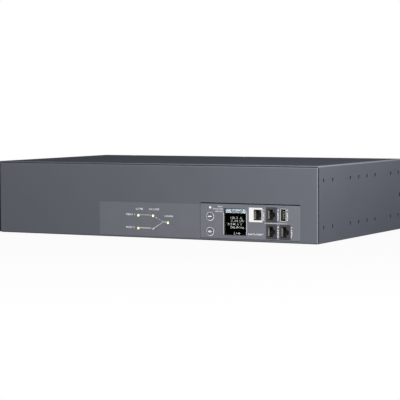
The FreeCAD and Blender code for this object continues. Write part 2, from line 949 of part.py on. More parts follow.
def outlet_board_box():
    """Low and high X and Z of the board behind the outlets."""
    margin = outlet_board_margin
    first = column_left + large_outlet_column - large_mouth_width / 2 - socket_wall
    last = max(x for x, z in small_outlet_places()) + small_mouth_width / 2 + socket_wall
    reach = large_mouth_height / 2 + socket_wall
    return first - margin, last + margin, min(rear_rows) - reach, max(rear_rows) + reach


def outlet_board():
    low_x, high_x, low_z, high_z = outlet_board_box()
    return block(low_x, high_x, outlet_board_back - board_thick, outlet_board_back, low_z, high_z)


def outlet_relays():
    """One relay behind each outlet, on the inner face of the outlet board."""
    front = outlet_board_back - board_thick
    wide, high, deep = outlet_relay_width, outlet_relay_height, outlet_relay_depth
    spots = large_outlet_places() + small_outlet_places()
    return Part.makeCompound(
        [rounded(plate(x, z, wide, high, front - deep, front), relay_edge, Y_AXIS) for x, z in spots]
    )


def transfer_spacer_places():
    inset = transfer_spacer_inset
    columns = (transfer_left + inset, (transfer_left + transfer_right) / 2, transfer_right - inset)
    return [(x, y) for x in columns for y in (front_y + transfer_front + inset, transfer_rear - inset)]


def transfer_board():
    front = front_y + transfer_front
    board = block(transfer_left, transfer_right, front, transfer_rear, transfer_low, transfer_top)
    spots = transfer_spacer_places()
    return board.cut([rod(x, y, transfer_low, Z_AXIS, board_hole, board_thick) for x, y in spots])


def board_spacers():
    """Spacers of the status board on the front wall and of the transfer board on the floor."""
    radius, bore = spacer_radius, spacer_bore
    front_spots, floor_spots = status_spacer_places(), transfer_spacer_places()
    spacers = [tube(x, front_inner, z, Y_AXIS, radius, bore, status_board_gap) for x, z in front_spots]
    spacers += [tube(x, y, sheet, Z_AXIS, radius, bore, transfer_lift) for x, y in floor_spots]
    return Part.makeCompound(spacers)


def board_screws():
    """One pan-headed screw in every spacer and post."""
    screws = []
    places = [(V(x, status_board_front + board_thick, z), V(0, -1, 0)) for x, z in status_spacer_places()]
    places += [(V(x, module_board_front + board_thick, z), V(0, -1, 0)) for x, z in module_post_places()]
    places += [(V(x, y, transfer_top), V(0, 0, -1)) for x, y in transfer_spacer_places()]
    for place, direction in places:
        head = Part.makeCylinder(board_screw_head, board_screw_head_height, V(0, 0, -board_screw_head_height))
        shank = Part.makeCylinder(board_screw_shank, board_thick + board_screw_grip)
        screws.append(turned(fuse([head, shank]), place, direction))
    return Part.makeCompound(screws)


def on_board(share, front, wide, long, high):
    """A box that stands on the transfer board, at a share of its width and behind its front edge."""
    left, y = transfer_left + share * transfer_width, front_y + transfer_front + front
    return block(left, left + wide, y, y + long, transfer_top, transfer_top + high)


def transfer_relays():
    """A column of two relays for each supply, one for each of its lines."""
    columns = [relay_first_share + k * relay_pitch_share for k in (0, 1)]
    fronts = [relay_front + k * relay_pitch_y for k in (0, 1)]
    boxes = [on_board(c, y, relay_width, relay_length, relay_height) for c in columns for y in fronts]
    return Part.makeCompound([rounded(box, relay_edge, Z_AXIS) for box in boxes])


def current_sensors():
    """Ring cores that stand on edge on the transfer board."""
    rings = []
    for k in (0, 1):
        x = transfer_left + sensor_share * transfer_width
        y = front_y + transfer_front + sensor_front + k * sensor_pitch
        middle = transfer_top + sensor_radius
        ring = rod(x, y, middle, X_AXIS, sensor_radius, sensor_thick)
        foot = block(x, x + sensor_thick, y - sensor_bore, y + sensor_bore, transfer_top, middle)
        hole = rod(x, y, middle, X_AXIS, sensor_bore, sensor_thick)
        rings.append(fuse([ring, foot]).cut(hole))
    return Part.makeCompound(rings)


def filter_capacitors():
    fronts = [capacitor_front + k * capacitor_pitch for k in (0, 1)]
    size = (capacitor_width, capacitor_length, capacitor_height)
    boxes = [on_board(capacitor_share, front, *size) for front in fronts]
    return Part.makeCompound([rounded(box, relay_edge, Z_AXIS) for box in boxes])


def supply_module():
    box = on_board(supply_share, supply_front, supply_width, supply_length, supply_height)
    return rounded(box, relay_edge, Z_AXIS)


def terminal_middle(k):
    """Y of the middle of a supply's terminal block."""
    return transfer_rear - terminal_from_rear + (k - 0.5) * terminal_pitch


def input_terminals():
    blocks = []
    x = column_left + inlet_column
    for k in (0, 1):
        y = terminal_middle(k)
        blocks.append(
            block(
                x - terminal_width / 2, x + terminal_width / 2,
                y - terminal_length / 2, y + terminal_length / 2,
                transfer_top, transfer_top + terminal_height,
            )
        )
    return Part.makeCompound(blocks)


def bent_path(x, start_y, start_z, end_y, end_z, radius):
    """A run along Y that turns down or up into a run along Z."""
    along = math.copysign(1.0, end_y - start_y)
    climb = math.copysign(1.0, end_z - start_z)
    corner = V(x, end_y - along * radius, start_z + climb * radius)
    swing = radius * math.sqrt(0.5)
    before = V(x, end_y - along * radius, start_z)
    after = V(x, end_y, start_z + climb * radius)
    middle = V(x, corner.y + along * swing, corner.z - climb * swing)
    first = Part.LineSegment(V(x, start_y, start_z), before).toShape()
    turn = Part.Arc(before, middle, after).toShape()
    last = Part.LineSegment(after, V(x, end_y, end_z)).toShape()
    return Part.Wire([first, turn, last])


def bent_lead(x, start_y, start_z, end_y, end_z):
    path = bent_path(x, start_y, start_z, end_y, end_z, lead_bend)
    ring = Part.Wire([Part.makeCircle(lead_radius, V(x, start_y, start_z), Y_AXIS)])
    return path.makePipeShell([ring], True, True)


def bent_strip(left, strip_width, thick, start_y, start_z, end_y, end_z, radius):
    """A flat strip bent once between a run along Y and a run along Z."""
    path = bent_path(left, start_y, start_z, end_y, end_z, radius)
    section = Part.makePolygon(
        [
            V(left, start_y, start_z - thick / 2),
            V(left + strip_width, start_y, start_z - thick / 2),
            V(left + strip_width, start_y, start_z + thick / 2),
            V(left, start_y, start_z + thick / 2),
            V(left, start_y, start_z - thick / 2),
        ]
    )
    return path.makePipeShell([section], True, True)


def inlet_tail():
    """Y of the inner end of the inlets' blades."""
    return rear_inner - inlet_body_depth - blade_tail


def earth_y(k):
    return rear_y - earth_from_rear - (0.5 - k) * earth_pitch


def supply_leads():
    """Two lines and an earth from each inlet, to the terminals and to the earth block."""
    upper, lower = [blade_places(x, z) for x, z in inlet_places()]
    start = inlet_tail()
    top = transfer_top + terminal_height
    end = terminal_middle(1) + terminal_length / 2
    leads = [bent_lead(x, start, z, terminal_middle(0), top) for x, z in upper[:2]]
    leads += [rod(x, end, z, Y_AXIS, lead_radius, start - end) for x, z in lower[:2]]
    earth_top = sheet + earth_block_height
    leads += [bent_lead(x, start, z, earth_y(k), earth_top) for k, (x, z) in enumerate((upper[2], lower[2]))]
    return Part.makeCompound(leads)


def earth_block():
    x, half = column_left + inlet_column, earth_block_width / 2
    front, rear = earth_y(0) - earth_block_margin, earth_y(1) + earth_block_margin
    return block(x - half, x + half, front, rear, sheet, sheet + earth_block_height)


def ribbon(left, start, middle):
    """A flat cable from the back of a front board down to the transfer board."""
    end = start + ribbon_run
    high = middle + ribbon_bend
    return bent_strip(left, ribbon_width, ribbon_thick, start, high, end, transfer_top, ribbon_bend)


def board_ribbons():
    module_x = transfer_right - ribbon_width - ribbon_bend
    module_z = module_low + module_height / 2
    low_x, high_x, low_z, high_z = status_board_box()
    status_x = (low_x + high_x - ribbon_width) / 2 + status_ribbon_shift
    status_z = (low_z + high_z) / 2
    return Part.makeCompound(
        [
            ribbon(module_x, module_board_front + board_thick, module_z),
            ribbon(status_x, status_board_front + board_thick, status_z),
        ]
    )


def output_busbars():
    """Copper bars from the transfer board up to the outlet board."""
    end, high = outlet_board_back - board_thick, transfer_top + busbar_rise
    foot = transfer_rear - busbar_foot
    wide, thick = busbar_width, busbar_thick
    lefts = [column_left + busbar_first + k * busbar_pitch - wide / 2 for k in (0, 1)]
    return Part.makeCompound(
        [bent_strip(left, wide, thick, end, high, foot, transfer_top, busbar_bend) for left in lefts]
    )


def build_pieces():
    pieces = {
        "base_tray": base_tray(),
        "top_cover": top_cover(),
        "cover_screws": cover_screws(),
        "ear_clinch_nuts": clinch_nuts(),
        "status_overlay": status_overlay(),
        "status_board": status_board(),
        "module_bezel": module_bezel(),
        "module_board": module_board(),
        "hex_nuts": hex_nuts(),
        "button_switches": button_switches(),
        "module_light_pipe": module_light_pipe(),
        "display_window": display_window(),
        "display_panel": display_panel(),
        "display_holder": display_holder(),
        "network_jack_shell": network_jack_shell(),
        "network_jack_insert": network_jack_insert(),
        "socket_contact_wires": socket_contact_wires(),
        "host_port_shell": host_port_shell(),
        "host_port_tongue": host_port_tongue(),
        "inlet_blades": inlet_blades(),
        "outlet_board": outlet_board(),
        "outlet_relays": outlet_relays(),
        "transfer_board": transfer_board(),
        "board_spacers": board_spacers(),
        "board_screws": board_screws(),
        "transfer_relays": transfer_relays(),
        "current_sensors": current_sensors(),
        "filter_capacitors": filter_capacitors(),
        "supply_module": supply_module(),
        "input_terminals": input_terminals(),
        "supply_leads": supply_leads(),
        "earth_block": earth_block(),
        "board_ribbons": board_ribbons(),
        "output_busbars": output_busbars(),
    }
    for name, (x, z) in lamp_places().items():
        pieces[name] = status_lamp(x, z)
    for name, (x, z) in zip(("upper_button", "lower_button"), button_places()):
        pieces[name] = push_button(x, z)
    for k, (left, middle) in enumerate(jack_places()):
        pieces[f"data_jack_{k + 1}"] = data_jack(left, middle)
    for k, (x, z) in enumerate(small_outlet_places()):
        pieces[f"small_outlet_{k + 1}"] = small_outlet(x, z)
    for k, (x, z) in enumerate(large_outlet_places()):
        pieces[f"large_outlet_{k + 1}"] = large_outlet(x, z)
    for letter, (x, z) in zip("ab", inlet_places()):
        pieces[f"inlet_{letter}"] = supply_inlet(x, z)
    for letter, (x, z) in zip("ab", breaker_places()):
        pieces[f"breaker_{letter}"] = breaker_body(x, z)
        pieces[f"breaker_{letter}_button"] = breaker_button(x, z)
    return pieces


def main():
    os.makedirs("parts", exist_ok=True)
    for name, shape in build_pieces().items():
        shape.exportStep(f"parts/{name}.step")


if __name__ == "__main__":
    main()
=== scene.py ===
"""Finishes, prints and small visible parts of a two-unit rack power distribution unit."""
import math

import bmesh
import bpy
from bpy.props import FloatProperty, FloatVectorProperty, PointerProperty
from mathutils import Matrix, Vector


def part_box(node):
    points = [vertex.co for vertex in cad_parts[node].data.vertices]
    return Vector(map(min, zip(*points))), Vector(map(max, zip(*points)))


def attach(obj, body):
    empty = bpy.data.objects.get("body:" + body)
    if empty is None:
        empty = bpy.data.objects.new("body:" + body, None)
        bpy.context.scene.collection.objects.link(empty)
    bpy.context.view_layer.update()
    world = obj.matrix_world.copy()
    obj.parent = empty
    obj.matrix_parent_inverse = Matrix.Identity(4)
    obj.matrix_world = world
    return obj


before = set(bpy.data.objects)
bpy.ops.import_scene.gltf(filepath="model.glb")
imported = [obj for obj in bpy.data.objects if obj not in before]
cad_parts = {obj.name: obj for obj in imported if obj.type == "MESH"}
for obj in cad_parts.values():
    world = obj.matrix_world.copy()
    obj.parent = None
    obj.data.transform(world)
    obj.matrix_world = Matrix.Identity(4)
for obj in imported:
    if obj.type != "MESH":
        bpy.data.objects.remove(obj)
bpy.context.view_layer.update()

bl_info = {
    "name": "Rack power distribution unit",
    "version": (1, 0, 0),
    "blender": (4, 5, 0),
    "location": "3D View > Sidebar > Rack unit",
    "description": "Dresses a two-unit rack power distribution unit that switches between two supplies",
    "category": "Object",
}

MM = 0.001
QUARTER = math.pi / 2
CHASSIS = "chassis"
LIT_LAMPS = ("source_a_power_lamp", "source_a_selected_lamp", "source_b_power_lamp", "output_lamp")
DARK_LAMPS = ("source_b_selected_lamp",)
SMALL_OUTLETS = tuple(f"small_outlet_{k}" for k in range(1, 9))
LARGE_OUTLETS = ("large_outlet_1", "large_outlet_2")
INLETS = ("inlet_a", "inlet_b")
BREAKERS = ("breaker_a", "breaker_b")
BUTTONS = ("upper_button", "lower_button")
DATA_JACKS = ("data_jack_1", "data_jack_2", "data_jack_3")
BUTTON_RADIUS = 4.2 * MM
SLIVER = 0.004  # of a letter's size: points nearer than this are merged
DARK_END, PALE_END = -170 * MM, 150 * MM  # along the width, between which the case's painted highlights grow paler and its painted shade changes, towards the key light at the right
LENS_ROOM = 2.0 * MM  # from the middle of a status lamp to the print beside it
A_LIFT, B_LIFT = 0.8 * MM, 0.6 * MM  # of each source's flow line above the middle of its lamps
JOINED_LIFT = 0.9 * MM  # of the joined flow line above the middle of the output lamp
JOINED_FAR, JOINED_NEAR = 5.6 * MM, 1.8 * MM  # its two ends, left of that lamp
DASHES = ((0.24, 0.42), (0.55, 0.65), (0.80, 0.90))  # shares of the line that is not in use
LABEL_ROOM = 1.5 * MM  # from a data socket's side to the middle of its label
PORT_LABEL_WIDTH = 12.5 * MM
JACK_LABEL_DROP = 14.1 * MM  # from the network socket's foot to the label under it
JACK_LABEL_WIDTH = 19.5 * MM
DIVIDER_WIDTH = 0.3 * MM  # of the line between the two rows of data sockets
DIVIDER_LEFT, DIVIDER_RIGHT = 2.0 * MM, 1.0 * MM  # how far it reaches past the upper row
MARK_REACH = 2.3 * MM  # half the length of the bar on a push button
MARK_WIDTH = 1.4 * MM
MARK_START = 1.0 * MM  # in front of the button's cap, from where the mark is laid on it
MARK_CUTS = 6
ARROW_RADIUS = 1.45 * MM
FIRST_ROW, ROW_STEP = 0.655, 0.1215  # of the display's height, from its foot
CONTACT_COUNT = 4
CONTACT_PITCH = 2.5 * MM
CONTACT_SIZE = Vector((0.3, 7.0, 1.1)) * MM
CONTACT_INSET = 3.0 * MM  # from the left of the host port's shell to a contact's middle
CONTACT_SETBACK = 0.6 * MM  # from the front of the port's tongue
CONTACT_ROUND = 0.12 * MM
NUMBER_HEIGHT = 2.8 * MM
NUMBER_RISE = 3.2 * MM  # from the top of a rear socket to the middle of its number
RESET_HEIGHT = 2.0 * MM
RESET_RISE = 13.0 * MM  # from the middle of a breaker to its label's
FLOOR_SIZE = 14.0
FLOOR_TONE = (0.5, 0.5, 0.5)
FLOOR_SHADE = 0.05  # share of the floor's own tone that shows next to the unit
SHADE_START, SHADE_END = 0.35, 0.9  # metres from the middle of the unit
KEY_PLACE, KEY_SIZE = (1.05, -1.1, 0.4), 0.8
BACK_PLACE, BACK_SIZE = (-1.4, 1.5, 0.38), 1.2
SENSOR_WIDTH = 36.0  # in millimetres


def linear(levels):
    """Scene-linear colour of a display colour given in steps of 0 to 255."""
    shares = [level / 255 for level in levels]
    return tuple(s / 12.92 if s <= 0.04045 else ((s + 0.055) / 1.055) ** 2.4 for s in shares)


def colour(name, text, levels):
    return FloatVectorProperty(
        name=name, description=text, subtype="COLOR", size=3, min=0.0, max=1.0, default=linear(levels)
    )


def length(name, text, millimetres):
    return FloatProperty(
        name=name, description=text, default=millimetres * MM, min=0.0, precision=5, unit="LENGTH"
    )


def angle(name, text, degrees):
    return FloatProperty(
        name=name, description=text, default=math.radians(degrees), subtype="ANGLE", unit="ROTATION"
    )


def number(name, text, value):
    return FloatProperty(name=name, description=text, default=value, min=0.0)


class Colours(bpy.types.PropertyGroup):
    """Colours of the unit's finishes."""

    paint: colour("Tray paint", "Powder coat of the tray", (99, 102, 109))
    cover: colour("Cover paint", "Powder coat of the cover", (96, 99, 108))
    # painted highlight: the pale tone laid on the folds where they catch the light
    fold: colour("Fold", "Paint where it runs thin over a fold", (152, 155, 162))
    # painted shade: the dark tone laid in the holes, under the cover's lip, at the sides' cut edges, low on
    # the cover's sides and on the left of its top
    bare: colour("Bare edge", "Sheet in the holes and at the cut edges of the sides", (46, 47, 53))
    overlay: colour("Overlay", "Film of the status panel", (106, 109, 116))
    module: colour("Module", "Moulded front of the control module", (111, 113, 120))
    button: colour("Button", "Caps of the push buttons", (100, 103, 110))
    ink: colour("Ink", "White print on the front", (240, 242, 246))
    lamp: colour("Lamp", "Light of the lamps", (230, 248, 136))
    dark_lamp: colour("Dark lamp", "Lens of a lamp that is off", (214, 217, 228))
    screen: colour("Screen", "Dark ground of the display", (9, 13, 16))
    screen_bar: colour("Screen bar", "Heading bar of the display", (90, 104, 109))
    screen_block: colour("Screen block", "Pale blocks in the heading bar", (140, 156, 164))
    # painted highlight: the pale tone of the rim's sides
    rim: colour("Display rim", "Frame round the display", (192, 196, 204))
    screen_text: colour("Screen text", "Figures on the display", (138, 144, 138))
    black: colour("Black plastic", "Outlets, inlets and breakers", (22, 22, 25))
    jack: colour("Data jack", "Moulded data sockets", (60, 60, 65))
    nickel: colour("Nickel", "Plated shells and blades", (250, 250, 248))
    contact: colour("Contact", "Contacts of the data sockets", (230, 222, 204))


class Sizes(bpy.types.PropertyGroup):
    """Sizes of the prints and of the small parts."""

    ink: length("Ink thickness", "How far a print stands off its surface", 0.04)
    line: length("Line width", "Width of the flow lines on the status panel", 0.5)
    label: length("Label height", "Height of the status panel's capitals", 2.0)
    legend: length("Legend height", "Height of the control module's capitals", 1.5)
    ring: length("Ring width", "Width of the ring round a push button", 0.55)
    ring_gap: length("Ring gap", "Gap between a push button and its ring", 0.3)
    ring_lift: length("Ring lift", "How far the ring's hole sits above its middle", 0.2)
    rim: length("Display rim", "Width of the rim round the display", 0.8)
    rim_proud: length("Rim height", "How far the display's rim stands proud", 0.25)
    border: length("Display border", "Width of the dark border at the display's left", 0.8)
    window_lip: length("Window lip", "How far the display reaches behind the module's front", 1.0)
    figure: length("Figure height", "Height of the display's figures", 2.4)
    port: length("Port label", "Height of the capitals beside the data sockets", 1.7)


class Stage(bpy.types.PropertyGroup):
    """Camera and light."""

    azimuth: angle("Azimuth", "How far round to the right the camera stands", 28.128)
    elevation: angle("Elevation", "How far above the horizon the camera stands", 3.391)
    roll: angle("Roll", "Turn of the camera about its own axis", -0.247)
    distance: length("Distance", "From the target to the camera", 1897.45)
    target_x: FloatProperty(name="Target X", description="Aim of the camera", default=0.0659, unit="LENGTH")
    target_z: FloatProperty(name="Target Z", description="Aim of the camera", default=0.04641, unit="LENGTH")
    lens: number("Lens", "Focal length in millimetres on a 36 mm sensor", 147.64)
    ambient: number("Ambient", "Strength of the even light", 0.18)
    key: number("Key light", "Power of the lamp in front, at the right", 25.4)
    back: number("Back light", "Power of the lamp behind, at the left", 42.0)


class Wire:
    """A socket of a node tree that can be used in sums."""

    def __init__(self, nodes, socket):
        self.nodes = nodes
        self.socket = socket

    def sum(self, operation, first, second):
        return self.nodes.add("ShaderNodeMath", {"operation": operation}, {0: first, 1: second})

    def __add__(self, other):
        return self.sum("ADD", self, other)

    __radd__ = __add__

    def __sub__(self, other):
        return self.sum("SUBTRACT", self, other)

    def __rsub__(self, other):
        return self.sum("SUBTRACT", other, self)

    def __mul__(self, other):
        return self.sum("MULTIPLY", self, other)

    __rmul__ = __mul__

    def __abs__(self):
        return self.nodes.add("ShaderNodeMath", {"operation": "ABSOLUTE"}, {0: self})


class Nodes:
    """A node tree to which nodes are added with their settings and inputs."""

    def __init__(self, tree):
        self.tree = tree

    def feed(self, socket, value):
        if isinstance(value, Wire):
            self.tree.links.new(value.socket, socket)
        elif socket.type == "RGBA" and len(value) == 3:
            socket.default_value = (*value, 1.0)
        else:
            socket.default_value = value

    def add(self, kind, settings=None, inputs=None, output=0):
        """A node whose settings are made first and whose inputs are then set or linked."""
        node = self.tree.nodes.new(kind)
        for name, value in (settings or {}).items():
            if name == "stops":
                for stop, (place, level) in zip(node.color_ramp.elements, value):
                    stop.position = place
                    stop.color = (level, level, level, 1.0)
            else:
                setattr(node, name, value)
        for name, value in (inputs or {}).items():
            self.feed(node.inputs[name], value)
        return Wire(self, node.outputs[output])

    def seen(self):
        """1 where a ray comes straight from the camera, a mirror or a clear piece."""
        path = "ShaderNodeLightPath"
        camera = self.add(path, output="Is Camera Ray")
        mirror = self.add(path, output="Is Glossy Ray")
        clear = self.add(path, output="Is Transmission Ray")
        return self.add("ShaderNodeClamp", None, {"Value": camera + mirror + clear})


class Finish(Nodes):
    """A material whose shader sockets are set by name and fed by nodes."""

    def __init__(self, name, **sockets):
        self.material = bpy.data.materials.new(name)
        self.material.use_nodes = True
        super().__init__(self.material.node_tree)
        self.shader = self.tree.nodes["Principled BSDF"]
        self.set(**sockets)

    def set(self, **sockets):
        for name, value in sockets.items():
            label = name.replace("_", " ").title().replace("Ior", "IOR")
            self.feed(self.shader.inputs[label], value)

    def place(self):
        return self.add("ShaderNodeTexCoord", output="Object")

    def axes(self):
        """The three coordinates of a point, each on its own."""
        place = self.place()
        return [self.add("ShaderNodeSeparateXYZ", None, {0: place}, k) for k in range(3)]

    def rise(self, value, start, end):
        """0 where a value is at a start and 1 where it is at an end, held beyond them."""
        return self.add("ShaderNodeMapRange", None, {"Value": value, "From Min": start, "From Max": end})

    def noise(self, grain, detail, roughness=0.5):
        """Noise from 0 to 1 whose grains are about a given size across, in metres."""
        inputs = {"Vector": self.place(), "Scale": 1 / grain, "Detail": detail, "Roughness": roughness}
        return self.add("ShaderNodeTexNoise", None, inputs)

    def ramp(self, value, low, high):
        stops = [(low, 0.0), (high, 1.0)]
        return self.add("ShaderNodeValToRGB", {"stops": stops}, {"Fac": value})

    def blend(self, share, first, second):
        return self.add("ShaderNodeMix", {"data_type": "RGBA"}, {0: share, 6: first, 7: second}, output=2)

    def bump(self, height, strength, depth):
        inputs = {"Height": height, "Strength": strength, "Distance": depth}
        self.set(normal=self.add("ShaderNodeBump", None, inputs))


def shade(levels, share):
    """A colour made lighter or darker by a share."""
    return tuple(min(1.0, level * share) for level in levels)


def powder_coat(name, base, painted_highlight, bare, painted_light):
    """Matt powder coat: a pebbled skin, a faint cloud of tone, a painted highlight on folds and painted shade
    at cut edges and in holes.
    """
    finish = Finish(name, specular_ior_level=0.0)
    pebble = finish.noise(0.7 * MM, 3.0)
    cloud = finish.noise(60 * MM, 2.0)
    speck = finish.ramp(finish.noise(0.45 * MM, 2.0, 0.7), 0.42, 0.72)
    tone = finish.blend(cloud, shade(base, 0.94), shade(base, 1.06))
    tone = finish.blend(speck * 0.22, tone, shade(base, 1.45))
    folds, shadow_share = painted_light(finish)
    # the base colour takes the fold colour as a painted highlight, then the bare colour as painted shade
    finish.set(base_color=finish.blend(shadow_share, finish.blend(folds, tone, painted_highlight), bare))
    finish.set(roughness=0.55 + pebble * 0.12)
    finish.bump(pebble, 0.6, 0.1 * MM)
    return finish.material


def grained_plastic(name, base, rough, grain=0.35, depth=0.02, gloss=0.3):
    """Moulded plastic with a fine spark-eroded grain."""
    finish = Finish(name, specular_ior_level=gloss)
    skin = finish.noise(grain * MM, 2.0)
    cloud = finish.noise(18 * MM, 2.0)
    finish.set(base_color=finish.blend(cloud, shade(base, 0.93), shade(base, 1.07)))
    finish.set(roughness=rough + (skin - 0.5) * 0.12)
    finish.bump(skin, 0.2, depth * MM)
    return finish.material


def plated_metal(name, base, rough):
    """Plated metal with faint rolled streaks and a cloudy polish."""
    finish = Finish(name, metallic=1.0)
    stretched = finish.add(
        "ShaderNodeMapping", None, {"Vector": finish.place(), "Scale": (1.0, 1.0, 14.0)}
    )
    grain = finish.add(
        "ShaderNodeTexNoise", None, {"Vector": stretched, "Scale": 1 / (0.6 * MM), "Detail": 3.0}
    )
    cloud = finish.noise(5 * MM, 2.0)
    finish.set(base_color=finish.blend(cloud, shade(base, 0.92), shade(base, 1.03)))
    finish.set(roughness=rough + (grain - 0.5) * 0.1)
    finish.bump(grain, 0.05, 0.01 * MM)
    return finish.material


def socket_plate(name, base, lip, back):
    """Plate of contact wires that is bright at a socket's lip and nearly black further back, where shade is
    painted.
    """
    finish = Finish(name, metallic=0.35)
    depth = finish.rise(finish.axes()[1], lip, back)
    cloud = finish.noise(1.5 * MM, 2.0)
    bright = finish.blend(cloud, shade(base, 0.9), base)
    # painted shade: the contacts turn nearly black deeper in the socket
    finish.set(base_color=finish.blend(depth, bright, shade(base, 0.03)))
    finish.set(roughness=0.4 + cloud * 0.1)
    return finish.material


def rim_plastic(name, side, end, low, high):
    """Moulded plastic of an upright frame, pale with a painted highlight along its sides and dark at its foot
    and head.
    """
    finish = Finish(name, specular_ior_level=0.3)
    height = finish.axes()[2]
    foot = finish.rise(height, low + (high - low) * 0.04, low)
    head = finish.rise(height, high - (high - low) * 0.2, high - (high - low) * 0.1)
    skin = finish.noise(0.3 * MM, 2.0)
    pale = finish.blend(skin, shade(side, 0.96), shade(side, 1.04))
    # the pale sides are a painted highlight; foot and head take the given dark colour
    finish.set(base_color=finish.blend(foot + head, pale, end), roughness=0.35 + skin * 0.08)
    return finish.material


def print_ink(name, base):
    """Screen-printed ink with slight pinholes of tone."""
    finish = Finish(name, specular_ior_level=0.2)
    speck = finish.ramp(finish.noise(0.25 * MM, 2.0), 0.3, 0.6)
    finish.set(base_color=finish.blend(speck, shade(base, 0.88), base), roughness=0.6)
    return finish.material


def glowing(name, base, strength, whiten):
    """A lens or a screen figure that gives light, paler in patches."""
    pale = tuple(level + (1.0 - level) * whiten for level in base)
    finish = Finish(name, emission_strength=strength, specular_ior_level=0.3)
    cloud = finish.noise(1.2 * MM, 1.0)
    glow = finish.blend(finish.ramp(cloud, 0.3, 0.7), base, pale)
    finish.set(base_color=glow, emission_color=glow, roughness=0.35)
    return finish.material


def lit_lens(name, base, rim, tip):
    """A lamp's lens that is lit, coloured at its rim and nearly white at its tip."""
    finish = Finish(name, emission_strength=0.55, specular_ior_level=0.3)
    core = finish.rise(finish.axes()[1], rim, tip)
    glow = finish.blend(core * core * 0.8, base, (1.0, 1.0, 1.0))
    finish.set(base_color=glow, emission_color=glow, roughness=0.35)
    return finish.material


def clear_lens(name, base):
    """A lamp's lens that isn't lit."""
    finish = Finish(name, specular_ior_level=0.5, transmission_weight=0.25)
    cloud = finish.noise(1.0 * MM, 1.0)
    finish.set(base_color=finish.blend(cloud, shade(base, 0.9), base), roughness=0.2)
    return finish.material


def window_glass(name):
    """Clear window with an anti-reflective face and a trace of smear."""
    finish = Finish(name, base_color=(1.0, 1.0, 1.0), transmission_weight=1.0, ior=1.06)
    smear = finish.noise(9 * MM, 3.0)
    finish.set(roughness=smear * 0.03)
    return finish.material


def circuit_board(name, base):
    """Solder mask with paler tracks under it."""
    finish = Finish(name, specular_ior_level=0.4)
    inputs = {"Vector": finish.place(), "Scale": 1 / (6 * MM)}
    cells = finish.add("ShaderNodeTexVoronoi", {"feature": "DISTANCE_TO_EDGE"}, inputs)
    track = finish.ramp(cells, 0.02, 0.06)
    finish.set(base_color=finish.blend(track, shade(base, 1.8), base))
    finish.set(roughness=0.35 + track * 0.1)
    finish.bump(track, 0.2, 0.03 * MM)
    return finish.material


def coat(material, *nodes):
    """Gives CAD nodes a finish."""
    for node in nodes:
        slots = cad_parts[node].data.materials
        slots.clear()
        slots.append(material)


def corners(node):
    low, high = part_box(node)
    return Vector(low), Vector(high)


def middle(node):
    low, high = corners(node)
    return (low + high) / 2


def start():
    """Object mode with nothing selected, before a piece is begun."""
    if bpy.context.object and bpy.context.object.mode != "OBJECT":
        bpy.ops.object.mode_set(mode="OBJECT")
    bpy.ops.object.select_all(action="DESELECT")


def apply_place():
    bpy.ops.object.transform_apply(location=True, rotation=True, scale=True)


def pick_faces(test):
    """Selects the faces of the mesh in edit mode that pass a test, and no others."""
    bpy.ops.mesh.select_mode(type="FACE")
    bpy.ops.mesh.select_all(action="DESELECT")
    data = bpy.context.object.data
    mesh = bmesh.from_edit_mesh(data)
    for face in mesh.faces:
        face.select_set(test(face))
    mesh.select_flush_mode()
    bmesh.update_edit_mesh(data)


def standing(place, back=False, turn=0.0):
    """Stands a flat shape up at a place, facing the front or the rear, turned in its own plane."""
    faces = Matrix.Rotation(math.pi if back else 0.0, 4, "Z") @ Matrix.Rotation(QUARTER, 4, "X")
    return Matrix.Translation(place) @ faces @ Matrix.Rotation(turn, 4, "Z")


def flat_strip(a, b, width):
    """A strip of print between two points of one upright plane, facing the front."""
    run = b - a
    start()
    bpy.ops.mesh.primitive_plane_add(size=1.0)
    strip = bpy.context.object
    strip.scale = (run.length, width, 1.0)
    apply_place()
    strip.matrix_world = standing((a + b) / 2, turn=math.atan2(run.z, run.x))
    apply_place()
    return strip


def flat_panel(low, high):
    """A rectangle of print, facing the front."""
    start()
    bpy.ops.mesh.primitive_plane_add(size=1.0)
    panel = bpy.context.object
    panel.scale = (high.x - low.x, high.z - low.z, 1.0)
    apply_place()
    panel.matrix_world = standing((low + high) / 2)
    apply_place()
    return panel


def flat_ring(centre, outer, inner, lift):
    """A ring of print, facing the front, whose hole sits higher than its middle."""
    start()
    bpy.ops.mesh.primitive_circle_add(vertices=64, radius=outer, fill_type="NGON")
    ring = bpy.context.object
    bpy.ops.object.mode_set(mode="EDIT")
    bpy.ops.mesh.select_all(action="SELECT")
    bpy.ops.mesh.inset(thickness=outer - inner)
    bpy.ops.transform.translate(value=(0.0, lift, 0.0))
    bpy.ops.mesh.delete(type="FACE")
    bpy.ops.object.mode_set(mode="OBJECT")
    ring.matrix_world = standing(centre)
    apply_place()
    return ring


def flat_frame(low, high, width):
    """A rectangular frame of a given width round an opening, facing the front."""
    start()
    bpy.ops.mesh.primitive_plane_add(size=1.0)
    border = bpy.context.object
    border.scale = (high.x - low.x + 2 * width, high.z - low.z + 2 * width, 1.0)
    apply_place()
    bpy.ops.object.mode_set(mode="EDIT")
    bpy.ops.mesh.select_all(action="SELECT")
    bpy.ops.mesh.inset(thickness=width)
    bpy.ops.mesh.delete(type="FACE")
    bpy.ops.object.mode_set(mode="OBJECT")
    border.matrix_world = standing((low + high) / 2)
    apply_place()
    return border


